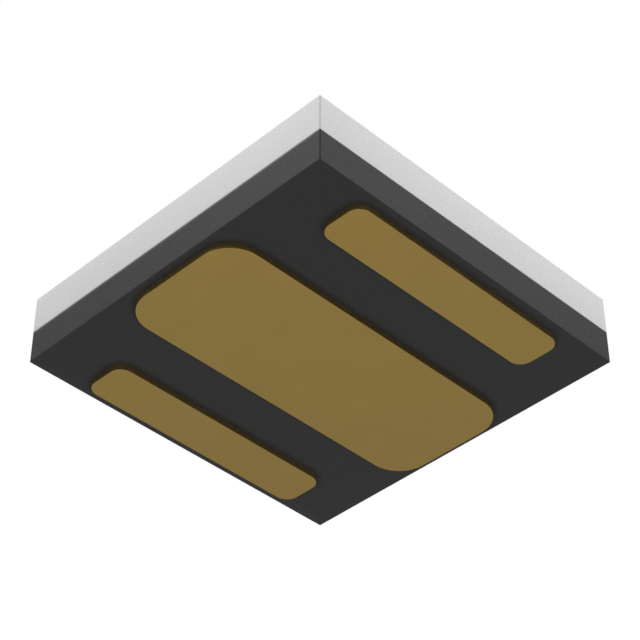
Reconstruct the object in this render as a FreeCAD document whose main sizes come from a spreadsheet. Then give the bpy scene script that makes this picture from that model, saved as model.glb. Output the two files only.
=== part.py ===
import FreeCAD, Part
import math
import os

import Sketcher

# A surface-mount LED in a square ceramic package, in millimetres.
# The origin is the middle of the solder face: the three pads lie on z = 0 and light leaves along +Z.
# The pads are long along Y. The anode is on the +X side and the cathode on the -X side.

# Name, value and meaning of every driving dimension
SIZES = [
    ("package_side", 3.45, "side of the square that the tile and the silicone share"),
    ("edge_break", 0.005, "chamfer on the four sawn upright edges"),
    ("ceramic_thickness", 0.32, "thickness of the ceramic tile"),
    ("pad_thickness", 0.053, "height of the solder pads below the tile"),
    ("thermal_width", 1.30, "thermal pad, across the package"),
    ("thermal_end_margin", 0.075, "thermal pad end to package side"),
    ("thermal_corner", 0.31, "thermal pad corner radius"),
    ("terminal_width", 0.45, "anode and cathode pad, across the package"),
    ("terminal_side_margin", 0.10, "long outer edge of a terminal pad to package side"),
    ("terminal_end_margin", 0.525, "terminal pad end to package side"),
    ("terminal_corner", 0.13, "terminal pad corner radius"),
    ("via_diameter", 0.15, "copper-filled hole through the tile"),
    ("via_pitch", 0.80, "distance between neighbouring vias"),
    ("trace_thickness", 0.05, "copper lands on the tile's top face"),
    ("trace_margin", 0.15, "land edge to package side"),
    ("trace_gap", 0.12, "insulating gap between the two lands"),
    ("trace_corner", 0.15, "land corner radius"),
    ("bond_thickness", 0.025, "gold-tin layer under each contact of the chip"),
    ("bond_setback", 0.04, "land's inner edge to the gold-tin layer"),
    ("bond_edge_margin", 0.05, "gold-tin layer to the chip's rim"),
    ("chip_side", 1.50, "side of the square flip chip"),
    ("chip_thickness", 0.12, "thickness of the flip chip"),
    ("glue_thickness", 0.02, "clear silicone between chip and converter"),
    ("converter_overhang", 0.05, "converter plate past the chip, all round"),
    ("converter_thickness", 0.15, "thickness of the converter plate"),
    ("diode_side", 0.25, "side of the square protection diode"),
    ("diode_thickness", 0.12, "thickness of the protection diode"),
    ("diode_inset", 0.15, "cathode land's inner edge to the diode"),
    ("epoxy_thickness", 0.02, "silver epoxy under the diode"),
    ("epoxy_squeeze", 0.02, "silver epoxy past the diode, all round"),
    ("wire_diameter", 0.025, "gold bond wire"),
    ("ball_base_diameter", 0.07, "foot of the squashed ball bond"),
    ("ball_height", 0.02, "height of the squashed ball bond"),
    ("ball_side_radius", 0.015, "radius of the ball bond's bulging side"),
    ("loop_height", 0.095, "top of the wire's centre line above the diode"),
    ("loop_radius", 0.05, "bend at the top of the wire loop"),
    ("stitch_inset", 0.25, "anode land's inner edge to the stitch bond"),
    ("stitch_length", 0.09, "flattened end of the wire, along the wire"),
    ("stitch_width", 0.05, "flattened end of the wire, across the wire"),
    ("stitch_thickness", 0.012, "height of the flattened end"),
]

# Vias over each terminal pad
VIA_COUNT = 3

# An edge that moves less than this across the package runs straight up
UPRIGHT_TOLERANCE = 1e-6

# Normal of every circle and arc in a sketch
UPWARD = FreeCAD.Vector(0, 0, 1)

# Name and side of the package of the two terminals
TERMINALS = (("anode", 1), ("cathode", -1))

# Places and sizes that pieces share, as formulas of the driving dimensions
TERMINAL_X = "(Sizes.package_side / 2 - Sizes.terminal_side_margin - Sizes.terminal_width / 2)"
TRACE_EDGE = "(Sizes.package_side / 2 - Sizes.trace_margin)"
CONVERTER_SIDE = "(Sizes.chip_side + 2 * Sizes.converter_overhang)"
DIODE_X = "(Sizes.trace_gap / 2 + Sizes.diode_inset + Sizes.diode_side / 2)"
DIODE_Y = f"(({CONVERTER_SIDE} / 2 + {TRACE_EDGE}) / 2)"
STITCH_X = "(Sizes.trace_gap / 2 + Sizes.stitch_inset)"
WIRE_SPAN = f"({DIODE_X} + {STITCH_X})"
WIRE_DROP = "(Sizes.epoxy_thickness + Sizes.diode_thickness)"

# Levels of the stack, from the solder face upwards
CERAMIC_BOTTOM = "Sizes.pad_thickness"
CERAMIC_TOP = f"({CERAMIC_BOTTOM} + Sizes.ceramic_thickness)"
TRACE_TOP = f"({CERAMIC_TOP} + Sizes.trace_thickness)"
CHIP_BOTTOM = f"({TRACE_TOP} + Sizes.bond_thickness)"
CHIP_TOP = f"({CHIP_BOTTOM} + Sizes.chip_thickness)"
CONVERTER_BOTTOM = f"({CHIP_TOP} + Sizes.glue_thickness)"
PACKAGE_TOP = f"({CONVERTER_BOTTOM} + Sizes.converter_thickness)"
DIODE_TOP = f"({TRACE_TOP} + {WIRE_DROP})"


def fill_sheet(doc):
    """Write the driving dimensions into the document's sheet."""
    sheet = doc.addObject("Spreadsheet::Sheet", "Sizes")
    for row, (alias, size, meaning) in enumerate(SIZES, start=1):
        sheet.set(f"A{row}", meaning)
        sheet.set(f"B{row}", str(size))
        sheet.setAlias(f"B{row}", alias)
    doc.recompute()


def new_body(doc, label, x="0", y="0", z="0"):
    """Start a sub-part whose own origin stands at the given formulas."""
    body = doc.addObject("PartDesign::Body", label)
    body.Label = label
    for axis, place in zip("xyz", (x, y, z)):
        body.setExpression(f"Placement.Base.{axis}", place)
    return body


def new_sketch(body, name, role, height="0"):
    """Lay a sketch on one of the body's own origin planes, raised along that plane's normal."""
    planes = {plane.Role: plane for plane in body.Origin.OriginFeatures}
    sketch = body.newObject("Sketcher::SketchObject", name)
    sketch.AttachmentSupport = [(planes[role], "")]
    sketch.MapMode = "FlatFace"
    sketch.setExpression("AttachmentOffset.Base.z", height)
    return sketch


def bind(sketch, name, formula, *constraint):
    """Add a named dimension to a sketch and tie it to a formula."""
    number = sketch.addConstraint(Sketcher.Constraint(*constraint, sketch.evalExpression(formula)))
    sketch.renameConstraint(number, name)
    sketch.setExpression(f"Constraints.{name}", formula)


def join_ends(sketch, pairs):
    """Make the listed curve ends of a sketch coincide."""
    for first, first_end, second, second_end in pairs:
        sketch.addConstraint(Sketcher.Constraint("Coincident", first, first_end, second, second_end))


def draw_rectangle(sketch, size_x, size_y):
    """Draw a rectangle about the sketch's origin."""
    half_x = sketch.evalExpression(size_x) / 2
    half_y = sketch.evalExpression(size_y) / 2
    points = [FreeCAD.Vector(x * half_x, y * half_y, 0) for x, y in ((-1, -1), (1, -1), (1, 1), (-1, 1))]
    for start, end in zip(points, points[1:] + points[:1]):
        sketch.addGeometry(Part.LineSegment(start, end))
    join_ends(sketch, [(0, 2, 1, 1), (1, 2, 2, 1), (2, 2, 3, 1), (3, 2, 0, 1)])
    for line, direction in enumerate(("Horizontal", "Vertical", "Horizontal", "Vertical")):
        sketch.addConstraint(Sketcher.Constraint(direction, line))
    sketch.addConstraint(Sketcher.Constraint("Symmetric", 0, 1, 1, 2, -1, 1))
    bind(sketch, "size_x", size_x, "DistanceX", 0, 1, 0, 2)
    bind(sketch, "size_y", size_y, "DistanceY", 1, 1, 1, 2)


def draw_circle(sketch, diameter, x="0", y="0"):
    """Draw a circle at a place on the sketch."""
    centre = FreeCAD.Vector(sketch.evalExpression(x), sketch.evalExpression(y), 0)
    sketch.addGeometry(Part.Circle(centre, UPWARD, sketch.evalExpression(diameter) / 2))
    bind(sketch, "diameter", diameter, "Diameter", 0)
    bind(sketch, "centre_x", x, "DistanceX", -1, 1, 0, 3)
    bind(sketch, "centre_y", y, "DistanceY", -1, 1, 0, 3)


def add_pad(body, name, sketch, length):
    """Raise a sketch into the body."""
    pad = body.newObject("PartDesign::Pad", name)
    pad.Profile = sketch
    pad.setExpression("Length", length)
    body.Tip = pad
    return pad


def upright_edges(shape):
    """Name the edges of a shape that run along Z."""
    names = []
    for number, edge in enumerate(shape.Edges, start=1):
        box = edge.BoundBox
        if max(box.XLength, box.YLength) < UPRIGHT_TOLERANCE:
            names.append(f"Edge{number}")
    return names


def dress_upright_edges(body, kind, size_name, size):
    """Round or chamfer the upright edges of a body's last feature."""
    body.Document.recompute()
    base = body.Tip
    dressing = body.newObject(f"PartDesign::{kind}", f"{body.Name}_{kind.lower()}")
    dressing.Base = (base, upright_edges(base.Shape))
    dressing.setExpression(size_name, size)
    body.Tip = dressing


def make_plate(doc, label, size_x, size_y, thickness, x="0", y="0", z="0"):
    """Make a flat rectangular piece that stands on its own origin."""
    body = new_body(doc, label, x, y, z)
    outline = new_sketch(body, f"{label}_outline", "XY_Plane")
    draw_rectangle(outline, size_x, size_y)
    add_pad(body, f"{label}_plate", outline, thickness)
    return body


def make_solder_pads(doc):
    """Make the plated pads: one isolated thermal pad between the two terminals."""
    thermal_length = "Sizes.package_side - 2 * Sizes.thermal_end_margin"
    terminal_length = "Sizes.package_side - 2 * Sizes.terminal_end_margin"
    thermal = make_plate(doc, "thermal_pad", "Sizes.thermal_width", thermal_length, "Sizes.pad_thickness")
    dress_upright_edges(thermal, "Fillet", "Radius", "Sizes.thermal_corner")
    pads = [thermal]
    for name, side in TERMINALS:
        pad = make_plate(
            doc, f"{name}_pad", "Sizes.terminal_width", terminal_length, "Sizes.pad_thickness",
            x=f"{side} * {TERMINAL_X}",
        )
        dress_upright_edges(pad, "Fillet", "Radius", "Sizes.terminal_corner")
        pads.append(pad)
    return pads


def repeat_along_y(body, feature, name):
    """Repeat a feature along Y at the via pitch."""
    axes = {axis.Role: axis for axis in body.Origin.OriginFeatures}
    pattern = body.newObject("PartDesign::LinearPattern", name)
    pattern.Originals = [feature]
    pattern.Direction = (axes["Y_Axis"], [""])
    pattern.Occurrences = VIA_COUNT
    pattern.setExpression("Length", f"{VIA_COUNT - 1} * Sizes.via_pitch")
    body.Tip = pattern


def draw_first_via(sketch, x="0"):
    """Draw the end via of a row that is centred on the package."""
    draw_circle(sketch, "Sizes.via_diameter", x, f"-{(VIA_COUNT - 1) / 2} * Sizes.via_pitch")


def make_ceramic(doc):
    """Make the sawn tile with a row of via holes over each terminal pad."""
    tile = make_plate(
        doc, "ceramic_substrate", "Sizes.package_side", "Sizes.package_side", "Sizes.ceramic_thickness",
        z=CERAMIC_BOTTOM,
    )
    dress_upright_edges(tile, "Chamfer", "Size", "Sizes.edge_break")
    for name, side in TERMINALS:
        circle = new_sketch(tile, f"{name}_hole_circle", "XY_Plane")
        draw_first_via(circle, f"{side} * {TERMINAL_X}")
        hole = tile.newObject("PartDesign::Pocket", f"{name}_hole")
        hole.Profile = circle
        hole.Reversed = True
        hole.Type = "ThroughAll"
        tile.Tip = hole
        doc.recompute()
        repeat_along_y(tile, hole, f"{name}_holes")
    return tile


def make_vias(doc):
    """Make the copper fillings, which fill their holes from pad to land."""
    groups = []
    for name, side in TERMINALS:
        group = new_body(doc, f"{name}_vias", x=f"{side} * {TERMINAL_X}", z=CERAMIC_BOTTOM)
        circle = new_sketch(group, f"{name}_via_circle", "XY_Plane")
        draw_first_via(circle)
        via = add_pad(group, f"{name}_via", circle, "Sizes.ceramic_thickness")
        doc.recompute()
        repeat_along_y(group, via, f"{name}_via_row")
        groups.append(group)
    return groups


def make_traces(doc):
    """Make the two copper lands, which share the tile's top face with one gap between them."""
    size_x = f"{TRACE_EDGE} - Sizes.trace_gap / 2"
    centre_x = f"({TRACE_EDGE} + Sizes.trace_gap / 2) / 2"
    traces = []
    for name, side in TERMINALS:
        trace = make_plate(
            doc, f"{name}_trace", size_x, f"2 * {TRACE_EDGE}", "Sizes.trace_thickness",
            x=f"{side} * {centre_x}", z=CERAMIC_TOP,
        )
        dress_upright_edges(trace, "Fillet", "Radius", "Sizes.trace_corner")
        traces.append(trace)
    return traces


def make_die_stack(doc):
    """Make the flip chip on its two gold-tin layers, with the converter glued on top."""
    inner = "(Sizes.trace_gap / 2 + Sizes.bond_setback)"
    outer = "(Sizes.chip_side / 2 - Sizes.bond_edge_margin)"
    stack = []
    for name, side in TERMINALS:
        stack.append(make_plate(
            doc, f"{name}_die_bond", f"{outer} - {inner}", f"2 * {outer}", "Sizes.bond_thickness",
            x=f"{side} * ({outer} + {inner}) / 2", z=TRACE_TOP,
        ))
    stack.append(make_plate(
        doc, "led_chip", "Sizes.chip_side", "Sizes.chip_side", "Sizes.chip_thickness", z=CHIP_BOTTOM,
    ))
    stack.append(make_plate(
        doc, "phosphor_bond", "Sizes.chip_side", "Sizes.chip_side", "Sizes.glue_thickness", z=CHIP_TOP,
    ))
    stack.append(make_plate(
        doc, "phosphor_plate", CONVERTER_SIDE, CONVERTER_SIDE, "Sizes.converter_thickness",
        z=CONVERTER_BOTTOM,
    ))
    return stack


def make_diode(doc):
    """Make the protection diode on its silver epoxy, on the cathode land beside the chip."""
    epoxy_side = "Sizes.diode_side + 2 * Sizes.epoxy_squeeze"
    epoxy = make_plate(
        doc, "esd_die_bond", epoxy_side, epoxy_side, "Sizes.epoxy_thickness",
        x=f"-{DIODE_X}", y=DIODE_Y, z=TRACE_TOP,
    )
    diode = make_plate(
        doc, "esd_diode", "Sizes.diode_side", "Sizes.diode_side", "Sizes.diode_thickness",
        x=f"-{DIODE_X}", y=DIODE_Y, z=f"{TRACE_TOP} + Sizes.epoxy_thickness",
    )
    return [epoxy, diode]


def turn_ball(wire):
    """Turn the squashed ball that is welded to the diode: flat foot and top, bulging side."""
    half = new_sketch(wire, "ball_half", "XZ_Plane")
    radius = half.evalExpression("Sizes.ball_base_diameter / 2")
    height = half.evalExpression("Sizes.ball_height")
    side_radius = half.evalExpression("Sizes.ball_side_radius")
    lean = math.asin(height / 2 / side_radius)
    side_centre = FreeCAD.Vector(radius - side_radius * math.cos(lean), height / 2, 0)
    foot, rim = FreeCAD.Vector(0, 0, 0), FreeCAD.Vector(radius, 0, 0)
    top, middle = FreeCAD.Vector(radius, height, 0), FreeCAD.Vector(0, height, 0)
    half.addGeometry(Part.LineSegment(foot, rim))
    half.addGeometry(Part.ArcOfCircle(Part.Circle(side_centre, UPWARD, side_radius), -lean, lean))
    half.addGeometry(Part.LineSegment(top, middle))
    half.addGeometry(Part.LineSegment(middle, foot))
    join_ends(half, [(0, 2, 1, 1), (1, 2, 2, 1), (2, 2, 3, 1), (3, 2, 0, 1), (0, 1, -1, 1)])
    for line, direction in ((0, "Horizontal"), (2, "Horizontal"), (3, "Vertical")):
        half.addConstraint(Sketcher.Constraint(direction, line))
    half.addConstraint(Sketcher.Constraint("Equal", 0, 2))
    bind(half, "foot", "Sizes.ball_base_diameter / 2", "DistanceX", 0, 1, 0, 2)
    bind(half, "rise", "Sizes.ball_height", "DistanceY", 3, 2, 3, 1)
    bind(half, "side", "Sizes.ball_side_radius", "Radius", 1)
    ball = wire.newObject("PartDesign::Revolution", "ball")
    ball.Profile = half
    ball.ReferenceAxis = (half, ["V_Axis"])
    ball.Angle = 360
    wire.Tip = ball


def sweep_loop(wire):
    """Sweep the wire up out of the ball, round the bend and straight down to the anode land."""
    path = new_sketch(wire, "loop_path", "XZ_Plane")
    radius = path.evalExpression("Sizes.loop_radius")
    start = FreeCAD.Vector(0, path.evalExpression("Sizes.ball_height / 2"), 0)
    bend = FreeCAD.Vector(0, path.evalExpression("Sizes.loop_height - Sizes.loop_radius"), 0)
    turn = bend + FreeCAD.Vector(radius, 0, 0)
    end = FreeCAD.Vector(path.evalExpression(WIRE_SPAN), -path.evalExpression(WIRE_DROP), 0)
    slope = end - turn
    leaving = math.atan2(slope.y, slope.x) + math.acos(radius / slope.Length)
    straight = turn + radius * FreeCAD.Vector(math.cos(leaving), math.sin(leaving), 0)
    path.addGeometry(Part.LineSegment(start, bend))
    path.addGeometry(Part.ArcOfCircle(Part.Circle(turn, UPWARD, radius), leaving, math.pi))
    path.addGeometry(Part.LineSegment(straight, end))
    path.addConstraint(Sketcher.Constraint("PointOnObject", 0, 1, -2))
    path.addConstraint(Sketcher.Constraint("Vertical", 0))
    path.addConstraint(Sketcher.Constraint("Tangent", 0, 2, 1, 2))
    path.addConstraint(Sketcher.Constraint("Tangent", 1, 1, 2, 1))
    bind(path, "start", "Sizes.ball_height / 2", "DistanceY", -1, 1, 0, 1)
    bind(path, "bend", "Sizes.loop_radius", "Radius", 1)
    bind(path, "crown", "Sizes.loop_height - Sizes.loop_radius", "DistanceY", -1, 1, 1, 3)
    bind(path, "span", WIRE_SPAN, "DistanceX", -1, 1, 2, 2)
    bind(path, "drop", WIRE_DROP, "DistanceY", 2, 2, -1, 1)
    section = new_sketch(wire, "wire_section", "XY_Plane", "Sizes.ball_height / 2")
    draw_circle(section, "Sizes.wire_diameter")
    loop = wire.newObject("PartDesign::AdditivePipe", "loop")
    loop.Profile = section
    loop.Spine = path
    wire.Tip = loop


def press_stitch(wire):
    """Cut the wire's end level with the land and weld it there with a flattened foot."""
    below = new_sketch(wire, "land_level", "XY_Plane", f"-{WIRE_DROP}")
    draw_circle(below, "2 * Sizes.stitch_length", WIRE_SPAN)
    level = wire.newObject("PartDesign::Pocket", "level_end")
    level.Profile = below
    level.setExpression("Length", "Sizes.wire_diameter")
    wire.Tip = level
    foot = new_sketch(wire, "stitch_outline", "XY_Plane", f"-{WIRE_DROP}")
    reach = "(Sizes.stitch_length - Sizes.stitch_width)"
    heel = f"{WIRE_SPAN} - {reach} / 2"
    radius = foot.evalExpression("Sizes.stitch_width / 2")
    aside = FreeCAD.Vector(0, radius, 0)
    left = FreeCAD.Vector(foot.evalExpression(heel), 0, 0)
    right = left + FreeCAD.Vector(foot.evalExpression(reach), 0, 0)
    quarter = math.pi / 2
    foot.addGeometry(Part.ArcOfCircle(Part.Circle(left, UPWARD, radius), quarter, 3 * quarter))
    foot.addGeometry(Part.LineSegment(left - aside, right - aside))
    foot.addGeometry(Part.ArcOfCircle(Part.Circle(right, UPWARD, radius), -quarter, quarter))
    foot.addGeometry(Part.LineSegment(right + aside, left + aside))
    for first, second in ((0, 1), (1, 2), (2, 3), (3, 0)):
        foot.addConstraint(Sketcher.Constraint("Tangent", first, 2, second, 1))
    foot.addConstraint(Sketcher.Constraint("Equal", 0, 2))
    foot.addConstraint(Sketcher.Constraint("PointOnObject", 0, 3, -1))
    foot.addConstraint(Sketcher.Constraint("PointOnObject", 2, 3, -1))
    bind(foot, "width", "Sizes.stitch_width / 2", "Radius", 0)
    bind(foot, "reach", reach, "DistanceX", 0, 3, 2, 3)
    bind(foot, "heel", heel, "DistanceX", -1, 1, 0, 3)
    add_pad(wire, "stitch", foot, "Sizes.stitch_thickness")


def make_bond_wire(doc):
    """Make the gold wire from the diode's top to the anode land, in one piece with its two welds."""
    wire = new_body(doc, "esd_bond_wire", x=f"-{DIODE_X}", y=DIODE_Y, z=DIODE_TOP)
    turn_ball(wire)
    sweep_loop(wire)
    press_stitch(wire)
    return wire


def mould_silicone(doc, held):
    """Mould white silicone round everything on the tile, level with the converter's top face."""
    block = make_plate(
        doc, "silicone_block", "Sizes.package_side", "Sizes.package_side",
        f"{PACKAGE_TOP} - {CERAMIC_TOP}", z=CERAMIC_TOP,
    )
    dress_upright_edges(block, "Chamfer", "Size", "Sizes.edge_break")
    filled = doc.addObject("Part::MultiFuse", "space_taken")
    filled.Shapes = held
    silicone = doc.addObject("Part::Cut", "white_silicone")
    silicone.Label = "white_silicone"
    silicone.Base = block
    silicone.Tool = filled
    return silicone


def check_document(doc, pieces):
    """Stop if any object failed or any sub-part has no sound solid."""
    for item in doc.Objects:
        if "Invalid" in item.State or "Error" in item.State:
            raise RuntimeError(f"{item.Label} failed: {item.State}")
    for piece in pieces:
        if piece.Shape.isNull() or not piece.Shape.isValid() or not piece.Shape.Solids:
            raise RuntimeError(f"{piece.Label} has no sound solid")


def write_steps(pieces):
    """Write each sub-part to a file that bears its name."""
    os.makedirs("parts", exist_ok=True)
    for piece in pieces:
        piece.Shape.exportStep(f"parts/{piece.Label}.step")
        box = piece.Shape.BoundBox
        size = f"{box.XLength:.3f} x {box.YLength:.3f} x {box.ZLength:.3f}"
        print(f"{piece.Label}: {len(piece.Shape.Solids)} solid(s), {size}, {piece.Shape.Volume:.6f} mm3")


def main():
    doc = FreeCAD.newDocument("surface_mount_led")
    fill_sheet(doc)
    pads = make_solder_pads(doc)
    ceramic = make_ceramic(doc)
    vias = make_vias(doc)
    traces = make_traces(doc)
    stack = make_die_stack(doc)
    diode = make_diode(doc)
    wire = make_bond_wire(doc)
    held = traces + stack + diode + [wire]
    silicone = mould_silicone(doc, held)
    doc.recompute()
    pieces = pads + [ceramic] + vias + held + [silicone]
    check_document(doc, pieces)
    write_steps(pieces)


main()
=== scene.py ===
# %% [markdown]
# A surface-mount LED, seen from its solder side
#
# The real part is 3.45 mm square and 0.738 mm thick. A dark ceramic tile carries white moulded
# silicone above it and three gold-plated solder pads below it. The CAD model already gives every
# piece its place and size, so this lesson only dresses it: finer edges, real finishes, soft light,
# and a camera under the part, because that is where its pads are.

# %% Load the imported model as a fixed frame
import math

import bmesh
import bpy
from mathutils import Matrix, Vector


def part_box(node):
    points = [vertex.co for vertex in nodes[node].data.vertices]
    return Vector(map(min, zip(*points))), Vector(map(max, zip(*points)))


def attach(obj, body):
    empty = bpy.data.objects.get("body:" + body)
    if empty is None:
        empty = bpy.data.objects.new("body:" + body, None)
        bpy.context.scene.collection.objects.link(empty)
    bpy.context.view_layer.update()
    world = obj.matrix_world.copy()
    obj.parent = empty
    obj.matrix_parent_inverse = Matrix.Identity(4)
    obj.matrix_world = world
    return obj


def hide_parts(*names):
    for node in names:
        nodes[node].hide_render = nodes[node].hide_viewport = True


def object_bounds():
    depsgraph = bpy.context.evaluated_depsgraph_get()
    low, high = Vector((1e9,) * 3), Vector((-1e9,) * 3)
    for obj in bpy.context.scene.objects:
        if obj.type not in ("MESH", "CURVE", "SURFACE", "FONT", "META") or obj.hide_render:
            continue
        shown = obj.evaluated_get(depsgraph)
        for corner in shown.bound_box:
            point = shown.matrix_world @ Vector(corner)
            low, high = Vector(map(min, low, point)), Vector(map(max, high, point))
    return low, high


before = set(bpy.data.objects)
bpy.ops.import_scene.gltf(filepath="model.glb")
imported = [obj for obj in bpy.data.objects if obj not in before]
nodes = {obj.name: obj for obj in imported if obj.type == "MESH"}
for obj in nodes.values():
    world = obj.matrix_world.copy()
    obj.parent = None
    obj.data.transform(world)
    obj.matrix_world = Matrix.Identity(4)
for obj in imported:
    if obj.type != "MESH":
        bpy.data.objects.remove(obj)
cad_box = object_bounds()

MM = 0.001
print("pieces in the frame:", sorted(nodes))
print("box in mm:", [tuple(round(value / MM, 3) for value in corner) for corner in cad_box])

# %% [markdown]
# Levels of the stack
#
# Several tones change with height: painted shade darkens a line along the tile's lower edge, and the grey
# is paler just below the seam. Their heights could be typed in, but then they would stay behind when the
# CAD model changes, so they are read from the frame. Every length that is written here is in millimetres,
# because metres are far too long for such a part, and is multiplied by MM where Blender needs metres.


# %% Read the levels
def in_mm(node):
    """A CAD node's lowest and highest corner in millimetres."""
    low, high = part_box(node)
    return low / MM, high / MM


TILE_BOTTOM = in_mm("ceramic_substrate")[0].z
SEAM = in_mm("ceramic_substrate")[1].z
PART_TOP = cad_box[1].z / MM
PART_SIDE = (cad_box[1].x - cad_box[0].x) / MM
print("tile from", round(TILE_BOTTOM, 3), "to", round(SEAM, 3), "mm, top at", round(PART_TOP, 3), "mm")

# %% [markdown]
# The camera
#
# A part this small is photographed with a long lens from close by. The camera stands under the part
# and looks up at one corner, so that the two sawn sides that meet there show as well as the pads.
# Its direction is given by two angles, as on a globe, because they are easy to read and to change.
# Blender's near clipping distance is 10 cm by default, far more than the whole scene is deep here,
# so it has to come down.

# %% Place the camera
CAMERA_AZIMUTH = math.radians(45)
CAMERA_ELEVATION = math.radians(-39.775)
CAMERA_DISTANCE = 17.178
CAMERA_AIM = Vector((0.1595, -0.1595, 0.3249))
LENS = 115
SENSOR_WIDTH = 36
CLIP_START = 0.5
CLIP_END = 1000


def direction(azimuth, elevation):
    """The unit vector towards a place round the part; azimuth 0 is in front of its -Y side."""
    level = math.cos(elevation)
    return Vector((math.sin(azimuth) * level, -math.cos(azimuth) * level, math.sin(elevation)))


scene = bpy.context.scene
camera = bpy.data.objects.new("camera", bpy.data.cameras.new("camera"))
scene.collection.objects.link(camera)
scene.camera = camera
camera.data.sensor_width = SENSOR_WIDTH
camera.data.lens = LENS
camera.data.clip_start = CLIP_START * MM
camera.data.clip_end = CLIP_END * MM
to_camera = direction(CAMERA_AZIMUTH, CAMERA_ELEVATION)
camera.location = (CAMERA_AIM + to_camera * CAMERA_DISTANCE) * MM
camera.rotation_mode = "QUATERNION"
camera.rotation_quaternion = (-to_camera).to_track_quat("-Z", "Y")
scene.view_settings.view_transform = "Standard"
print("camera in mm:", [round(value / MM, 2) for value in camera.location])

# %% [markdown]
# Helpers for node trees
#
# A material, a floor and the world are all small trees of nodes. Writing each node as one call, with
# its inputs beside it, keeps a tree as readable as a recipe. An input is either a plain value or the
# output of an earlier node, and the helper does the right thing with both. The others are short
# forms of it for what comes up again and again: sums, places, and carrying a value from one range
# over to another.


# %% Add one node with its inputs
def add(tree, kind, inputs=None, **settings):
    """A new node; inputs maps socket names or numbers to values or to outputs of other nodes."""
    node = tree.nodes.new("ShaderNode" + kind)
    for name, value in settings.items():
        setattr(node, name, value)
    for socket, value in (inputs or {}).items():
        if isinstance(value, bpy.types.NodeSocket):
            tree.links.new(value, node.inputs[socket])
        else:
            node.inputs[socket].default_value = value
    return node


def combine(tree, how, *values, **settings):
    """The result of a Math node, such as ADD or MAXIMUM, for numbers."""
    return add(tree, "Math", dict(enumerate(values)), operation=how, **settings).outputs[0]


def combine_vectors(tree, how, *values):
    """The result of a VectorMath node, for places and colours."""
    results = add(tree, "VectorMath", dict(enumerate(values)), operation=how).outputs
    return results["Value"] if how in ("LENGTH", "DOT_PRODUCT") else results["Vector"]


# %% Pick a coordinate and change a range
def coordinate(tree, place, axis):
    """The X, Y or Z of a place or a direction."""
    return add(tree, "SeparateXYZ", {0: place}).outputs[axis]


def spread(tree, value, low, high, to_low=0.0, to_high=1.0, kind="SMOOTHSTEP"):
    """The output of a node that carries a value from one range over to another."""
    inputs = {"Value": value, "From Min": low, "From Max": high, "To Min": to_low, "To Max": to_high}
    return add(tree, "MapRange", inputs, interpolation_type=kind).outputs["Result"]


def between(tree, share, at_zero, at_one):
    """A number between two others, by a share from 0 to 1."""
    return spread(tree, share, 0.0, 1.0, at_zero, at_one, kind="LINEAR")


print("helpers for node trees: add, combine, combine_vectors, coordinate, spread, between")

# %% [markdown]
# The light from all round
#
# The studio is a white tent over a grey bench: light falls evenly from above and from the sides, and
# about half as much comes up from below. That is why the underside of the part is darker than its
# sides, and the gold pads mirror the grey half of the room. The world's tone depends only on how high
# a direction points. It steps down just under the horizon and rises again a little towards the
# lowest point, so that the near end of the pads shines slightly more than the far end. What the
# camera, metal and glass see above the horizon is exactly white.

# %% Build the world
SKY_FOR_LIGHT = 0.785
BENCH_TONE = 0.38
NADIR_TONE = 0.68
STEP_LOW = -0.12
STEP_HIGH = -0.02

world = bpy.data.worlds.new("studio")
scene.world = world
world.use_nodes = True
tree = world.node_tree
tree.nodes.clear()
height = coordinate(tree, add(tree, "TexCoord").outputs["Generated"], "Z")
bench = spread(tree, height, STEP_LOW, STEP_HIGH, BENCH_TONE, 1.0)
nadir = spread(tree, height, -1.0, STEP_LOW, NADIR_TONE - BENCH_TONE, 0.0, kind="LINEAR")
path = add(tree, "LightPath").outputs
seen = combine(tree, "MAXIMUM", path["Is Camera Ray"], path["Is Glossy Ray"])
seen = combine(tree, "MAXIMUM", seen, path["Is Transmission Ray"])
level = between(tree, seen, SKY_FOR_LIGHT, 1.0)
strength = combine(tree, "MULTIPLY", combine(tree, "ADD", bench, nadir), level)
sky = add(tree, "Background", {"Color": (1, 1, 1, 1), "Strength": strength})
add(tree, "OutputWorld", {"Surface": sky.outputs[0]})
print("world nodes:", len(tree.nodes))

# %% [markdown]
# Two soft boxes
#
# Two round lamps, each wider than the part, hang a few part-widths away, left and right of the
# camera. Each lights one of the two sides that the camera sees, so the sides look alike, while the
# narrow chamfer between them gets only a grazing share from both, which helps to draw it as a thin
# darker line. Being so near, the left one also fades along its side. Most of the light is still the
# tent's. Blender wants a lamp's power in watts, so it is worked out from how bright the lamp's face
# is meant to look and how large it is.

# %% Hang the soft boxes
BOX_WIDTH = 6
BOXES = {
    "box_left": {"place": (-3.5, -8.0, 9.0), "brightness": 4.1},
    "box_right": {"place": (8.0, 2.5, 6.0), "brightness": 2.7},
}
PART_MIDDLE = (cad_box[0] + cad_box[1]) / 2
box_area = math.pi * (BOX_WIDTH * MM / 2) ** 2

for name, plan in BOXES.items():
    lamp = bpy.data.lights.new(name, "AREA")
    lamp.shape = "DISK"
    lamp.size = BOX_WIDTH * MM
    lamp.energy = plan["brightness"] * math.pi * box_area
    box = bpy.data.objects.new(name, lamp)
    scene.collection.objects.link(box)
    box.location = Vector(plan["place"]) * MM
    box.rotation_mode = "QUATERNION"
    box.rotation_quaternion = (box.location - PART_MIDDLE).to_track_quat("Z", "Y")
    box.visible_camera = False
    print(name, "power in watts:", round(lamp.energy, 6))

# %% [markdown]
# The floor
#
# The part lies on its pads on a white table, and from above the table shows its shadow. The photo is
# taken from below, as if through the table, so the table has to vanish from there: its material is
# see-through from behind. It is also see-through for light on its way to the part. Right under the
# part it hides from mirror-like rays too, or the pads would only see the table that they touch. Far
# from the part the table turns into plain white, so that no horizon shows.

# %% Lay the floor
FLOOR_RADIUS = 200
FLOOR_DROP = 0.001
FLOOR_STEPS = 96

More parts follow.
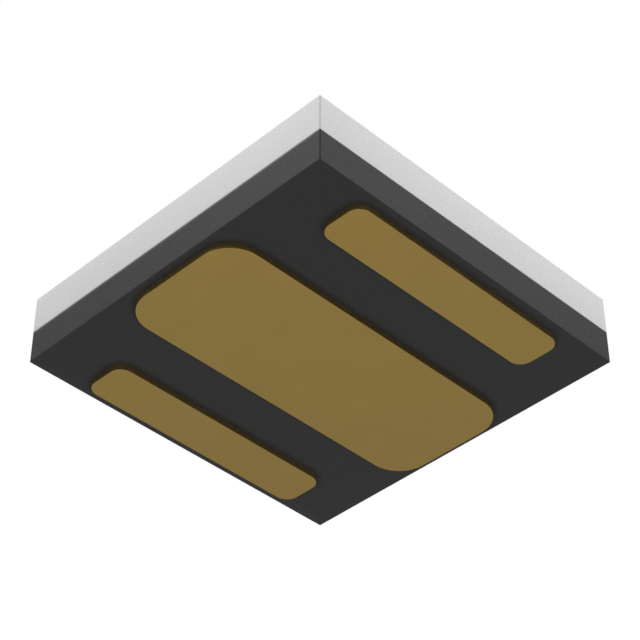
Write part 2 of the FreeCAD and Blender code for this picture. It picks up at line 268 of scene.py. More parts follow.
mesh = bpy.data.meshes.new("floor")
shape = bmesh.new()
bmesh.ops.create_circle(shape, cap_ends=True, segments=FLOOR_STEPS, radius=FLOOR_RADIUS * MM)
shape.to_mesh(mesh)
shape.free()
floor = bpy.data.objects.new("floor", mesh)
floor.location.z = -FLOOR_DROP * MM
scene.collection.objects.link(floor)
print("floor radius in mm:", FLOOR_RADIUS)

# %% Paint the floor
TABLE_TONE = 0.97
HIDDEN_REACH = 1.8
FADE_START = 5
FADE_END = 16

material = bpy.data.materials.new("table")
material.use_nodes = True
tree = material.node_tree
tree.nodes.clear()
spot = add(tree, "NewGeometry").outputs
across = combine(tree, "ABSOLUTE", coordinate(tree, spot["Position"], "X"))
along = combine(tree, "ABSOLUTE", coordinate(tree, spot["Position"], "Y"))
reach = combine(tree, "MAXIMUM", across, along)
outside = combine(tree, "GREATER_THAN", reach, HIDDEN_REACH * MM)
path = add(tree, "LightPath").outputs
mirrored = combine(tree, "ADD", path["Is Glossy Ray"], path["Is Transmission Ray"])
mirrored = combine(tree, "MULTIPLY", mirrored, outside)
wanted = combine(tree, "ADD", mirrored, path["Is Camera Ray"])
from_above = combine(tree, "SUBTRACT", 1.0, spot["Backfacing"])
shown = combine(tree, "MULTIPLY", wanted, from_above, use_clamp=True)
distance = combine_vectors(tree, "LENGTH", spot["Position"])
far = spread(tree, distance, FADE_START * MM, FADE_END * MM)
white = add(tree, "BsdfDiffuse", {"Color": (TABLE_TONE, TABLE_TONE, TABLE_TONE, 1)}).outputs[0]
glow = add(tree, "Emission", {"Color": (1, 1, 1, 1), "Strength": 1.0}).outputs[0]
paper = add(tree, "MixShader", {0: far, 1: white, 2: glow}).outputs[0]
clear_air = add(tree, "BsdfTransparent").outputs[0]
mixed = add(tree, "MixShader", {0: shown, 1: clear_air, 2: paper}).outputs[0]
add(tree, "OutputMaterial", {"Surface": mixed})
mesh.materials.append(material)
print("table nodes:", len(tree.nodes))

# %% [markdown]
# Tools for the finishes
#
# Every finish here is a base colour that varies a little, a roughness that varies with it and a very
# low relief. All three come from noise in the object's own coordinates, so nothing has to be
# unwrapped. Sizes are given as the width of one grain in millimetres, because that is how a maker
# would measure them, and turned into Blender's noise scale in one place.


# %% Noise and streaks
NOISE_ROUGHNESS = 0.55
NOISE_LOW = 0.3
NOISE_MIDDLE = 0.5
NOISE_HIGH = 0.7


def object_place(tree):
    """Where a point lies on the part, in metres."""
    return add(tree, "TexCoord").outputs["Object"]


def grain(tree, width, detail=2.0, place=None, seed=0.0):
    """Soft noise between 0 and 1 whose grains are about width millimetres across."""
    place = combine_vectors(tree, "ADD", place or object_place(tree), (seed * MM,) * 3)
    scale = 1 / (width * MM)
    inputs = {"Vector": place, "Scale": scale, "Detail": detail, "Roughness": NOISE_ROUGHNESS}
    return add(tree, "TexNoise", inputs).outputs["Fac"]


def streaks(tree, length, width, seed=0.0):
    """Noise drawn out level, as a saw leaves it: length along the side and width up it, in mm."""
    place = combine_vectors(tree, "MULTIPLY", object_place(tree), (1.0, 1.0, length / width))
    return grain(tree, length, detail=3.0, place=place, seed=seed)


def follow(tree, noise, low, high):
    """A value between two that follows a noise, most of which lies from NOISE_LOW to NOISE_HIGH."""
    return spread(tree, noise, NOISE_LOW, NOISE_HIGH, low, high)


print("noise tools: grain, streaks, follow")

# %% [markdown]
# A tone often changes in one place only: darker on an edge, paler under a seam. Here most such changes
# are painted shade and painted light. Painting that by hand would need an unwrapped picture. A mask does
# the same without one: it is a number that is 1 in that place and 0 elsewhere, and the colour is
# multiplied by a tint where the mask is 1.


# %% Colours and relief
WHITE = (1.0, 1.0, 1.0)


def grey(tone):
    """A colour without a tint."""
    return (tone, tone, tone)


def blend(tree, share, low_colour, high_colour):
    """A colour between two, by a share from 0 to 1."""
    inputs = {"Factor": share, "A": (*low_colour, 1), "B": (*high_colour, 1)}
    node = tree.nodes.new("ShaderNodeMix")
    node.data_type = "RGBA"
    for name, value in inputs.items():
        socket = next(s for s in node.inputs if s.name == name and s.enabled)
        if isinstance(value, bpy.types.NodeSocket):
            tree.links.new(value, socket)
        else:
            socket.default_value = value
    return next(s for s in node.outputs if s.enabled)


def tinted(tree, colour, mask, tint):
    """The colour, multiplied by a tint where the mask is 1 and left alone where it is 0."""
    return combine_vectors(tree, "MULTIPLY", colour, blend(tree, mask, WHITE, tint))


def relief(tree, height, depth, under=None):
    """Bump that shades height as if it were depth millimetres deep, on top of another bump."""
    inputs = {"Height": height, "Distance": depth * MM}
    if under:
        inputs["Normal"] = under
    return add(tree, "Bump", inputs).outputs["Normal"]


def finish(name, make):
    """A material whose tree is filled by make, which returns the sockets of the main shader."""
    material = bpy.data.materials.new(name)
    material.use_nodes = True
    tree = material.node_tree
    tree.nodes.clear()
    shader = add(tree, "BsdfPrincipled", make(tree))
    add(tree, "OutputMaterial", {"Surface": shader.outputs[0]})
    print("finish", name, "has", len(tree.nodes), "nodes")
    return material


print("colour tools: grey, blend, tinted, relief, finish")

# %% [markdown]
# Masks
#
# The masks of this part are worked out from the way a face points and from a point's place. The first two
# tell the sawn sides from the level faces, and the side that faces -Y from the other three, because that
# side gets painted light and painted shade of its own near the seam and along the lower edge. The next
# ones pick out the upright chamfers and everything up to a certain level.


# %% Masks by direction and place
UPRIGHT_FACE = 0.3
LEVEL_FACE = 0.8
ON_FRONT = -0.95
OFF_FRONT = -0.8
CHAMFER = 0.005
CHAMFER_FADE = 0.005
CHAMFER_SLACK = 0.0005


def facing(tree, axis):
    """How far a face points along an axis, from -1 to 1."""
    return coordinate(tree, add(tree, "TexCoord").outputs["Normal"], axis)


def side_mask(tree):
    """1 on the part's upright sides and 0 on faces that lie level."""
    steep = combine(tree, "ABSOLUTE", facing(tree, "Z"))
    return spread(tree, steep, UPRIGHT_FACE, LEVEL_FACE, 1.0, 0.0)


def front_mask(tree):
    """1 on the part's side that faces -Y and 0 on its other faces."""
    return spread(tree, facing(tree, "Y"), ON_FRONT, OFF_FRONT, 1.0, 0.0)


def corner_mask(tree):
    """1 on the four upright chamfers of the package and 0 a few microns beside them."""
    place = combine_vectors(tree, "ABSOLUTE", object_place(tree))
    total = combine_vectors(tree, "DOT_PRODUCT", place, (1, 1, 0))
    chamfer_starts = PART_SIDE - CHAMFER - CHAMFER_SLACK
    return spread(tree, total, (chamfer_starts - CHAMFER_FADE) * MM, chamfer_starts * MM)


def level_mask(tree, height, reach):
    """1 below a height in mm and 0 from reach above it; with a negative reach, the other way up."""
    up = coordinate(tree, object_place(tree), "Z")
    return spread(tree, up, height * MM, (height + reach) * MM, 1.0, 0.0)


print("masks: side, front, corner, level")

# %% [markdown]
# Painted shade darkens the tile in a border beside the pads, darkest at their foot, where the pads' walls
# shade it. The mask for it measures how far a point lies from the nearest pad. A rounded rectangle is a
# smaller plain rectangle with a radius added all round, so the distance to that plain one, less the
# radius, is the distance to the pad. The rectangles come from the frame, and the corner radii are those
# of the CAD model's pads.

# %% The painted shade beside the pads
PAD_CORNERS = {"thermal_pad": 0.31, "anode_pad": 0.13, "cathode_pad": 0.13}
BORDER_FULL = 0.013
BORDER_WIDTH = 0.064


def pad_foot_shade(tree):
    """1 up to BORDER_FULL beside each pad and 0 from BORDER_WIDTH, round the corners too."""
    nearest = None
    for node, radius in PAD_CORNERS.items():
        low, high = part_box(node)
        middle = (low + high) / 2
        half = (high - low) / 2 - Vector((radius, radius, 0)) * MM
        offset = combine_vectors(tree, "SUBTRACT", object_place(tree), (middle.x, middle.y, 0))
        offset = combine_vectors(tree, "MULTIPLY", offset, (1, 1, 0))
        offset = combine_vectors(tree, "ABSOLUTE", offset)
        offset = combine_vectors(tree, "SUBTRACT", offset, (half.x, half.y, 0))
        offset = combine_vectors(tree, "MAXIMUM", offset, (0, 0, 0))
        away = combine(tree, "SUBTRACT", combine_vectors(tree, "LENGTH", offset), radius * MM)
        nearest = combine(tree, "MINIMUM", nearest, away) if nearest else away
    return spread(tree, nearest, BORDER_FULL * MM, BORDER_WIDTH * MM, 1.0, 0.0, kind="LINEAR")


print("border beside each pad in mm:", BORDER_WIDTH)

# %% [markdown]
# Finish: dark ceramic
#
# The tile is fired aluminium nitride, a dense grey ceramic of fine crystals. It is matt, its sides are
# sawn and its underside is lapped, so the sides carry faint level saw marks and a coarser grain, and they
# are a little darker. Painted shade darkens the upright chamfers and a thin line along the lower edge,
# and the grey is paler for a hair's width down from the seam. On the side that faces -Y, painted light
# pales the grey further down from the seam, and the painted shade along the lower edge is wider there.
# Painted shade also darkens the level faces beside the pads.

# %% Ceramic
CRYSTAL_WIDTH = 0.012
CRYSTAL_DARK = grey(0.008)
CRYSTAL_LIGHT = (0.116, 0.116, 0.117)
LAPPED_CONTRAST = 0.25
SAWN_TINT = grey(0.87)
EDGE_SHADE_TINT = grey(0.52)
EDGE_SHADE_LINE = 0.001
WIDE_EDGE_SHADE_LINE = 0.007
EDGE_SHADE_FADE = 0.008
SEAM_PALING_TINT = grey(1.7)
SEAM_PALING_REACH = 0.016
FRONT_PAINTED_LIGHT = grey(2.2)
FRONT_LIGHT_REACH = 0.036
PAD_SHADE_TINT = grey(0.75)


def ceramic_sockets(tree):
    """Sockets of the tile's shader."""
    side = side_mask(tree)
    front = front_mask(tree)
    crystals = grain(tree, CRYSTAL_WIDTH, detail=3.0)
    contrast = between(tree, side, LAPPED_CONTRAST, 1.0)
    centred = combine(tree, "SUBTRACT", crystals, NOISE_MIDDLE)
    share = combine(tree, "MULTIPLY_ADD", centred, contrast, NOISE_MIDDLE)
    tone = blend(tree, share, CRYSTAL_DARK, CRYSTAL_LIGHT)
    tone = tinted(tree, tone, side, SAWN_TINT)
    # painted shade: darker on the upright chamfers and in a line along the lower edge, wider on the side
    # that faces -Y
    line = level_mask(tree, TILE_BOTTOM + EDGE_SHADE_LINE, EDGE_SHADE_FADE)
    wide_line = level_mask(tree, TILE_BOTTOM + WIDE_EDGE_SHADE_LINE, EDGE_SHADE_FADE)
    painted_shade = combine(tree, "MAXIMUM", corner_mask(tree), line)
    painted_shade = combine(tree, "MAXIMUM", painted_shade, combine(tree, "MULTIPLY", front, wide_line))
    tone = tinted(tree, tone, combine(tree, "MULTIPLY", painted_shade, side), EDGE_SHADE_TINT)
    # the grey is paler for a hair's width below the seam
    tone = tinted(tree, tone, level_mask(tree, SEAM, -SEAM_PALING_REACH), SEAM_PALING_TINT)
    # painted light: the side that faces -Y is paler further down from the seam
    front_light = combine(tree, "MULTIPLY", front, level_mask(tree, SEAM, -FRONT_LIGHT_REACH))
    tone = tinted(tree, tone, front_light, FRONT_PAINTED_LIGHT)
    # painted shade on the level faces beside the pads' feet
    tone = tinted(tree, tone, between(tree, side, pad_foot_shade(tree), 0.0), PAD_SHADE_TINT)
    saw_marks = relief(tree, streaks(tree, length=0.09, width=0.006, seed=1.0), depth=0.0006)
    return {
        "Base Color": tone,
        "Roughness": follow(tree, crystals, 0.42, 0.48),
        "Specular IOR Level": 0.045,
        "Normal": relief(tree, crystals, 0.0004, saw_marks),
    }


ceramic = finish("fired_ceramic", ceramic_sockets)

# %% [markdown]
# Finish: white silicone
#
# Silicone filled with titanium dioxide is the whitest thing in the part: it has to throw the chip's light
# back. It is satin from the mould and finely grainy where the saw went through. Near the tile it looks a
# touch greyer, and greyest in the last hundredths of a millimetre at the seam, because light that wanders
# through it is lost in the dark ceramic. On the side that faces -Y, painted shade darkens it a little
# further up from the seam, and painted shade darkens its upright chamfers too. Right beside the window it
# has a faint warm tinge instead, from light that comes back out of the yellow plate. Real scattering
# would show most of this, but tones that follow the height and the distance cost nothing and are easy to
# set.

# %% White silicone
FILLER_WIDTH = 0.011
FILLER_DARK = grey(0.475)
FILLER_LIGHT = grey(0.985)
TINT_AT_SEAM = grey(0.945)
TINT_AT_TOP = grey(1.02)
CHAMFER_SHADE_TINT = grey(0.78)
SEAM_TINT = grey(0.84)
SEAM_REACH = 0.020
FRONT_SHADE_REACH = 0.026
WINDOW_TINT = (1.0, 0.965, 0.84)
TINGE_WIDTH = 0.08


def window_border(tree):
    """1 at the window's edge and 0 from TINGE_WIDTH outside it."""
    half = in_mm("phosphor_plate")[1].x
    place = combine_vectors(tree, "ABSOLUTE", object_place(tree))
    reach = combine(tree, "MAXIMUM", coordinate(tree, place, "X"), coordinate(tree, place, "Y"))
    return spread(tree, reach, half * MM, (half + TINGE_WIDTH) * MM, 1.0, 0.0)


def silicone_sockets(tree):
    """Sockets of the white silicone's shader."""
    filler = grain(tree, FILLER_WIDTH, detail=3.0)
    tone = blend(tree, filler, FILLER_DARK, FILLER_LIGHT)
    height = coordinate(tree, object_place(tree), "Z")
    lift = spread(tree, height, SEAM * MM, PART_TOP * MM, kind="LINEAR")
    tone = combine_vectors(tree, "MULTIPLY", tone, blend(tree, lift, TINT_AT_SEAM, TINT_AT_TOP))
    # painted shade: darker on the upright chamfers
    tone = tinted(tree, tone, corner_mask(tree), CHAMFER_SHADE_TINT)
    tone = tinted(tree, tone, level_mask(tree, SEAM, SEAM_REACH), SEAM_TINT)
    # painted shade: the side that faces -Y is darker further up from the seam
    painted_shade = combine(tree, "MULTIPLY", front_mask(tree), level_mask(tree, SEAM, FRONT_SHADE_REACH))
    tone = tinted(tree, tone, painted_shade, SEAM_TINT)
    tone = tinted(tree, tone, window_border(tree), WINDOW_TINT)
    saw_marks = relief(tree, streaks(tree, length=0.07, width=0.008, seed=5.0), depth=0.0006)
    return {
        "Base Color": tone,
        "Roughness": follow(tree, filler, 0.40, 0.46),
        "Specular IOR Level": 0.25,
        "Normal": relief(tree, filler, 0.0005, saw_marks),
    }


white_silicone = finish("filled_silicone", silicone_sockets)

# %% [markdown]
# Finish: gold plating
#
# The pads are copper under nickel and a very thin coat of gold. Such a coat follows the small round knobs
# in which copper grows, so it looks satin and a little dull instead of like a mirror. A cell pattern
# gives the knobs, and fine and broad noise together make the tone waver. Painted shade makes the gold
# very slightly darker towards the -X +Y corner, and painted light makes it slightly lighter towards the
# +X -Y corner. The walls grew against a smooth mask, so they have no knobs and are closer to a mirror
# than the faces. Their colour is painted light: a brighter copy of the faces' gold, brightest in their
# upper half beside the tile and darker at their foot. The etch leaves a dull trace on them, and a few
# percent less of metal stands for it.

# %% Gold plating
KNOB_WIDTH = 0.014
FINE_WIDTH = 0.02
DRIFT_WIDTH = 0.5
GOLD_DARK = (0.421, 0.287, 0.082)
GOLD_LIGHT = (0.449, 0.306, 0.089)
SLOPE_REACH = 3.4
SLOPE_SHADE = grey(0.91)
SLOPE_LIGHT = grey(1.01)
WALL_PAINTED_LIGHT = (2.25, 2.38, 3.25)
WALL_ROUGHNESS = 0.18
WALL_METAL = 0.965
WALL_FOOT = 0.028
FOOT_SHADE = 0.90
TOP_SHADE = 1.18


def gold_sockets(tree):
    """Sockets of the pads' shader."""
    inputs = {"Vector": object_place(tree), "Scale": 1 / (KNOB_WIDTH * MM), "Randomness": 1.0}
    knobs = add(tree, "TexVoronoi", inputs, feature="SMOOTH_F1").outputs["Distance"]
    fine = grain(tree, FINE_WIDTH, detail=3.0, seed=2.0)
    drift = grain(tree, DRIFT_WIDTH, seed=8.0)
    waver = combine(tree, "ADD", fine, drift)
    tone = blend(tree, spread(tree, waver, 2 * NOISE_LOW, 2 * NOISE_HIGH), GOLD_DARK, GOLD_LIGHT)
    # painted shade and light: darker towards the -X +Y corner, lighter towards +X -Y
    across = combine_vectors(tree, "DOT_PRODUCT", object_place(tree), (1, -1, 0))
    painted_slope = spread(tree, across, -SLOPE_REACH * MM, SLOPE_REACH * MM, kind="LINEAR")
    tone = combine_vectors(tree, "MULTIPLY", tone, blend(tree, painted_slope, SLOPE_SHADE, SLOPE_LIGHT))
    wall = side_mask(tree)
    # painted light: the walls are a brighter copy of the faces' gold, paler towards the top of the wall
    # and darker at its foot
    tone = tinted(tree, tone, wall, WALL_PAINTED_LIGHT)
    height = coordinate(tree, object_place(tree), "Z")
    wall_light = spread(tree, height, WALL_FOOT * MM, TILE_BOTTOM * MM, FOOT_SHADE, TOP_SHADE, kind="LINEAR")
    tone = combine_vectors(tree, "MULTIPLY", tone, between(tree, wall, 1.0, wall_light))
    bumps = combine(tree, "MULTIPLY", knobs, combine(tree, "SUBTRACT", 1.0, wall))
    return {
        "Base Color": tone,
        "Metallic": between(tree, wall, 1.0, WALL_METAL),
        "Roughness": between(tree, wall, follow(tree, fine, 0.34, 0.42), WALL_ROUGHNESS),
        "Normal": relief(tree, bumps, 0.0005),
    }


gold_plating = finish("satin_gold", gold_sockets)

# %% [markdown]
# Finish: the yellow converter
#
# The window in the top is a plate of ceramic phosphor, yellow in daylight and as fine as chalk. A few
# of its grains are paler or deeper in colour, which keeps it from looking like paint.

# %% Phosphor
POWDER_WIDTH = 0.014
CLOUD_WIDTH = 0.12
CLOUD_LOW = 0.5
CLOUD_HIGH = 1.5
PHOSPHOR_DEEP = (0.78, 0.60, 0.07)
PHOSPHOR_PALE = (0.88, 0.76, 0.17)


def phosphor_sockets(tree):
    """Sockets of the converter plate's shader."""
    powder = grain(tree, POWDER_WIDTH, detail=4.0)
    clouds = grain(tree, CLOUD_WIDTH, detail=3.0, seed=4.0)
    cloudy = combine(tree, "ADD", powder, clouds)
    share = spread(tree, cloudy, CLOUD_LOW, CLOUD_HIGH, kind="LINEAR")
    return {
        "Base Color": blend(tree, share, PHOSPHOR_DEEP, PHOSPHOR_PALE),
        "Roughness": follow(tree, powder, 0.55, 0.75),
        "Specular IOR Level": 0.3,
        "Normal": relief(tree, powder, 0.0008),
    }


phosphor = finish("phosphor_ceramic", phosphor_sockets)

# %% [markdown]
# Finishes of the pieces inside
#
# Nothing of the electrical path shows from outside, but each piece still has the finish of its real
# material, so that a cut-open or see-through picture works too. Metals share one recipe: a metallic
# shader whose tone, roughness and relief follow a grain. What differs is the colour, the size of the
# grain and how rough it is.

# %% Metals inside
METAL_RELIEF = 0.04


def metal(name, dark, light, width, rough):
    """A metal with grains of a width in mm and a roughness between two values."""

    def sockets(tree):
        grains = grain(tree, width, detail=3.0)
        return {
            "Base Color": blend(tree, follow(tree, grains, 0.0, 1.0), dark, light),
            "Metallic": 1.0,
            "Roughness": follow(tree, grains, *rough),
            "Normal": relief(tree, grains, width * METAL_RELIEF),
        }

    return finish(name, sockets)


copper = metal("bare_copper", (0.70, 0.38, 0.25), (0.79, 0.46, 0.31), 0.02, (0.28, 0.42))
gold_tin = metal("gold_tin_solder", (0.61, 0.50, 0.30), (0.71, 0.60, 0.38), 0.012, (0.42, 0.58))
silver_epoxy = metal("silver_glue", (0.45, 0.45, 0.46), (0.64, 0.64, 0.65), 0.008, (0.45, 0.7))
gold_wire = metal("drawn_gold", (0.82, 0.59, 0.23), (0.88, 0.65, 0.27), 0.006, (0.12, 0.2))

# %% [markdown]
# The chip is grown on sapphire and glued to the converter with clear silicone. Both are see-through,
# so they let light pass instead of giving it back, and their relief is only a faint haze. The
# protection diode is bare silicon, dark and glossy.

# %% Sapphire, clear silicone and silicon
HAZE_WIDTH = 0.05
POLISH_WIDTH = 0.03


def clear(name, dark, light, index, rough):
    """A see-through material with a refractive index and a faint haze."""

    def sockets(tree):
        haze = grain(tree, HAZE_WIDTH)
        return {
            "Base Color": blend(tree, haze, dark, light),
            "Roughness": follow(tree, haze, *rough),
            "IOR": index,
            "Transmission Weight": 0.85,
            "Normal": relief(tree, haze, 0.0004),
        }

    return finish(name, sockets)


def silicon_sockets(tree):
    """Sockets of the protection diode's shader."""
    polish = grain(tree, POLISH_WIDTH)
    return {
        "Base Color": blend(tree, polish, (0.10, 0.11, 0.13), (0.14, 0.15, 0.18)),
        "Roughness": follow(tree, polish, 0.12, 0.24),
        "Specular IOR Level": 0.8,
        "Normal": relief(tree, polish, 0.0003),
    }


sapphire = clear("cut_sapphire", (0.56, 0.64, 0.74), (0.68, 0.76, 0.82), 1.77, (0.04, 0.12))
clear_silicone = clear("clear_glue", (0.86, 0.86, 0.84), (0.93, 0.93, 0.91), 1.41, (0.05, 0.15))
silicon = finish("polished_silicon", silicon_sockets)

# %% [markdown]
# The shapes inside are right as they come from the CAD model, so they aren't built again: each
# object only gets its finish in place of the plain one that it was packed with.

# %% Give the inner CAD pieces their finishes
INNER = {
    "anode_vias": copper,
    "cathode_vias": copper,
    "anode_trace": copper,
    "cathode_trace": copper,
    "anode_die_bond": gold_tin,
    "cathode_die_bond": gold_tin,
    "led_chip": sapphire,
    "phosphor_bond": clear_silicone,
    "esd_diode": silicon,
    "esd_die_bond": silver_epoxy,
    "esd_bond_wire": gold_wire,
}
for name, material in INNER.items():
    nodes[name].data.materials.clear()
    nodes[name].data.materials.append(material)
print("inner pieces dressed:", len(INNER))

# %% [markdown]
# Building flat pieces from stacked outlines
#
# The tile, the pads and the converter are all flat plates with a worn or etched edge. Such a plate
# is easy to build as a stack of outlines: each ring of points is joined to the next by a strip of
# faces, and the rings near the top and bottom step inwards on a quarter circle, which rounds the
# edge. Bevelling a finished block would work too, but the rings give clean strips at any size. An
# outline is a function of its inset, so that the same one draws every ring.

# %% Outlines
CORNER_STEPS = 28
EDGE_STEPS = 4


def rounded_outline(low, high, radius):
    """A function that gives the rounded rectangle's points for an inset, in mm."""

    def points(inset):
        left, front, right, back = low[0] + radius, low[1] + radius, high[0] - radius, high[1] - radius
        reach = radius - inset
        found = []
        for x, y, start in ((right, front, -90), (right, back, 0), (left, back, 90), (left, front, 180)):
            for step in range(CORNER_STEPS + 1):
                turn = math.radians(start + 90 * step / CORNER_STEPS)
                found.append((x + reach * math.cos(turn), y + reach * math.sin(turn)))
        return found

    return points


def chamfered_outline(low, high, cut):
    """A function that gives the points of a rectangle with its corners cut off, for an inset."""

    def points(inset):
        left, front, right, back = low[0] + inset, low[1] + inset, high[0] - inset, high[1] - inset
        leg = max(cut - inset * (2 - math.sqrt(2)), 0)
        if leg == 0:
            return [(right, front), (right, back), (left, back), (left, front)]
        return [(right - leg, front), (right, front + leg), (right, back - leg), (right - leg, back),
                (left + leg, back), (left, back - leg), (left, front + leg), (left + leg, front)]

    return points


def edge_profile(low, high, round_low, round_high):
    """(inset, height) pairs up the side of a plate whose lower and upper edges are rounded."""
    steps = [math.radians(90 * step / EDGE_STEPS) for step in range(EDGE_STEPS + 1)]
    lower = [(round_low * (1 - math.sin(a)), low + round_low * (1 - math.cos(a))) for a in steps]
    upper = [(round_high * (1 - math.sin(a)), high - round_high * (1 - math.cos(a))) for a in steps]
    return (lower if round_low else lower[:1]) + (upper[::-1] if round_high else upper[:1])


print("points round a pad:", 4 * (CORNER_STEPS + 1))

# %% [markdown]
# The rings become a mesh here. Holes go straight through, each with a wall of its own, and then the
# flat ends have to be filled between the outer ring and the holes, which Blender's triangle fill
# does well. An end without holes is a single face.

# %% Stack the rings into a plate
HOLE_STEPS = 32


def hole_wall(shape, x, y, radius, heights):
    """Adds the wall of a round hole and returns its two rims."""
    turns = [2 * math.pi * step / HOLE_STEPS for step in range(HOLE_STEPS)]
    rims = [[shape.verts.new((x + radius * math.cos(a), y + radius * math.sin(a), z)) for a in turns]
            for z in heights]
    for i in range(HOLE_STEPS):
        j = (i + 1) % HOLE_STEPS
        shape.faces.new((rims[0][j], rims[0][i], rims[1][i], rims[1][j]))
    return rims


def plate_shape(outline, profile, holes=()):
    """A bmesh of the plate in mm; holes are (x, y, radius) and go straight through."""
    shape = bmesh.new()
    rings = [[shape.verts.new((x, y, z)) for x, y in outline(inset)] for inset, z in profile]
    for lower, upper in zip(rings, rings[1:]):
        for i in range(len(lower)):
            j = (i + 1) % len(lower)
            shape.faces.new((lower[i], lower[j], upper[j], upper[i]))
    heights = (profile[0][1], profile[-1][1])
    bores = [hole_wall(shape, x, y, radius, heights) for x, y, radius in holes]
    for end, ring in ((0, rings[0]), (1, rings[-1])):
        if not holes:
            shape.faces.new(ring if end else ring[::-1])
            continue
        loops = [ring] + [rims[end] for rims in bores]
        edges = [shape.edges.get((loop[i - 1], loop[i])) for loop in loops for i in range(len(loop))]
        bmesh.ops.triangle_fill(shape, use_beauty=True, edges=edges, normal=(0, 0, 1 if end else -1))
    bmesh.ops.recalc_face_normals(shape, faces=shape.faces)
    return shape


print("points round a hole:", HOLE_STEPS)

# %% [markdown]
# A finished mesh still has to become a piece of the part: an object with a material, seated on the
# frame in place of its CAD solid. The mesh is made in millimetres and scaled once at the end, because
# Blender's mesh tools compare lengths with fixed small tolerances that are too coarse for thousandths
# of a millimetre in metres. Its small roundings are shaded smooth and its real corners stay sharp.

# %% Turn a mesh into a piece
SHARP_ANGLE = math.radians(40)


def add_piece(name, shape, material, node):
    """Makes the piece from a bmesh in mm, smooths its small roundings and seats it on the frame."""
    bmesh.ops.scale(shape, vec=(MM, MM, MM), verts=shape.verts)
    mesh = bpy.data.meshes.new(name)
    shape.to_mesh(mesh)
    shape.free()
    mesh.shade_smooth()
    mesh.set_sharp_from_angle(angle=SHARP_ANGLE)
    mesh.materials.append(material)
    piece = bpy.data.objects.new(name, mesh)
    scene.collection.objects.link(piece)
    evener = piece.modifiers.new("even_normals", "WEIGHTED_NORMAL")
    evener.keep_sharp = True
    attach(piece, "root")
    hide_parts(node)
    print(name, "faces:", len(mesh.polygons), "size in mm:", [round(v / MM, 3) for v in piece.dimensions])


print("edges sharper than", round(math.degrees(SHARP_ANGLE)), "degrees stay sharp")

# %% [markdown]
# The three solder pads
#
# The pads are plated up through a mask and etched, so their walls are steep and their lower edges
# are crisp. The etch also eats a few thousandths of a millimetre off the walls, and not the same on
# each, because the mask never lies quite true. PAD_EASE says how far each pad's left, front, right
# and back wall lies inside its CAD solid, or outside it where the number is negative. The plated
# corners come out a little tighter than drawn, and CORNER_EASE is how much is taken off their
# radius. Seen from the photo's side, each steep wall mirrors the dark ceramic beside it, and that
# draws the dark line along the pads. The wide pad in the middle carries heat, the two narrow ones
# carry current.

# %% Build the pads
PAD_EDGE = 0.0004
CORNER_EASE = 0.008
PAD_EASE = {
    "thermal_pad": (0.0023, 0.0035, 0.0015, 0.004),
    "anode_pad": (-0.0012, 0.003, 0.003, 0.0028),
    "cathode_pad": (0.0046, 0.0027, -0.0016, 0.0044),
}
for node, radius in PAD_CORNERS.items():
    low, high = in_mm(node)
    left, front, right, back = PAD_EASE[node]
    low += Vector((left, front, 0))
    high -= Vector((right, back, 0))
    outline = rounded_outline(low, high, radius - CORNER_EASE)
    profile = edge_profile(low.z, high.z, PAD_EDGE, 0)
    add_piece(node + "_plated", plate_shape(outline, profile), gold_plating, node)

# %% [markdown]
# The ceramic tile
#
# The tile is sawn from a large fired sheet. Its four upright edges are broken by a small chamfer and
# its lower edges by a still smaller rounding. Six drilled holes take the copper that joins the pads
# to the lands on top; they are open in the mesh, as in the real tile, and the copper fills them.

# %% Build the tile
TILE_EDGE = 0.0007
low, high = in_mm("ceramic_substrate")
holes = []
for node in ("anode_vias", "cathode_vias"):
    via_low, via_high = in_mm(node)
    x = (via_low.x + via_high.x) / 2
    radius = (via_high.x - via_low.x) / 2
    for y in (via_low.y + radius, 0.0, via_high.y - radius):
        holes.append((x, y, radius))
outline = chamfered_outline(low, high, CHAMFER)
profile = edge_profile(low.z, high.z, TILE_EDGE, 0)
tile = plate_shape(outline, profile, holes)
add_piece("ceramic_tile", tile, ceramic, "ceramic_substrate")

# %% [markdown]
# The converter plate
#
# The plate is diced like the tile, so its rim is crisp, and only its upper edge is broken by a hair.
# The silicone round it gets the same small rounding further on. The two together leave a fine
# groove between the yellow window and the white frame.

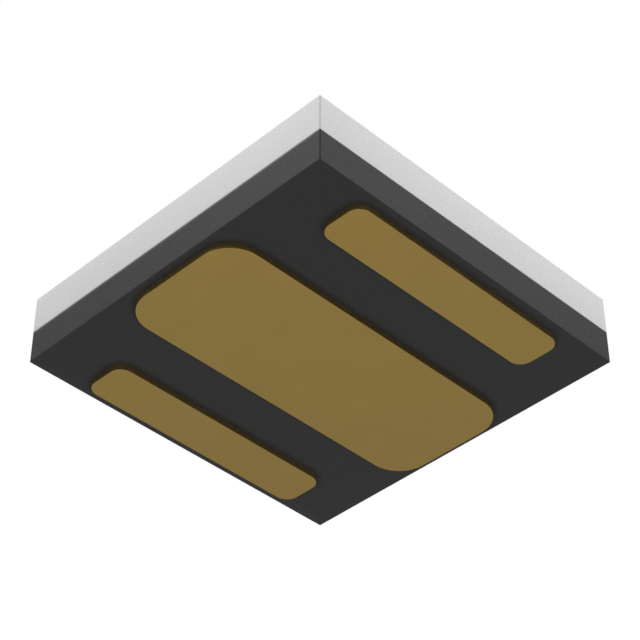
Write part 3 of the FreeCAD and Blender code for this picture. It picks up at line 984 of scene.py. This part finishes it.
# %% Build the converter
WINDOW_EDGE = 0.008
low, high = in_mm("phosphor_plate")
outline = chamfered_outline(low, high, 0.0)
profile = edge_profile(low.z, high.z, 0, WINDOW_EDGE)
add_piece("converter_window", plate_shape(outline, profile), phosphor, "phosphor_plate")

# %% [markdown]
# The white silicone
#
# The silicone is cast over everything that stands on the tile and then sawn together with it. Inside
# it is the exact negative of the chip, the diode and its wire, which nobody would want to model
# twice. So this piece starts from the CAD mesh: the triangles of each flat side are joined into one
# face, and only the edges that show from outside, round the top and round the window, are rounded.

# %% Join the silicone's triangles
SAME_POINT = 1e-4
FLAT_ANGLE = math.radians(0.5)

silicone = bmesh.new()
silicone.from_mesh(nodes["white_silicone"].data)
bmesh.ops.scale(silicone, vec=(1 / MM,) * 3, verts=silicone.verts)
bmesh.ops.remove_doubles(silicone, verts=silicone.verts, dist=SAME_POINT)
bmesh.ops.dissolve_limit(silicone, angle_limit=FLAT_ANGLE, verts=silicone.verts, edges=silicone.edges)
print("faces of the silicone's CAD mesh, joined:", len(silicone.faces))

# %% [markdown]
# The edges to round are found by where they lie: on the top face, on the square of the outer rim or
# of the window. Picking them by number would work only until the CAD model changes.

# %% Round its visible edges
RIM_EDGE = 0.001
RIM_STEPS = 3
NEAR_RIM = 0.01
STEEP_FACE = 0.5


def on_top_rim(edge, width):
    """True for an edge of the top face that lies on a square of this width round the middle."""
    level = all(abs(vert.co.z - PART_TOP) < SAME_POINT for vert in edge.verts)
    middle = (edge.verts[0].co + edge.verts[1].co) / 2
    steep = any(abs(face.normal.z) < STEEP_FACE for face in edge.link_faces)
    return level and steep and abs(max(abs(middle.x), abs(middle.y)) - width / 2) < NEAR_RIM


plate_low, plate_high = in_mm("phosphor_plate")
for width, rounding in ((plate_high.x - plate_low.x, WINDOW_EDGE), (PART_SIDE, RIM_EDGE)):
    rim = [edge for edge in silicone.edges if on_top_rim(edge, width)]
    bmesh.ops.bevel(silicone, geom=rim, offset=rounding, offset_type="OFFSET", segments=RIM_STEPS,
                    profile=0.5, affect="EDGES", clamp_overlap=False)
    print("edges rounded:", len(rim), "by", rounding, "mm")
add_piece("silicone_body", silicone, white_silicone, "white_silicone")
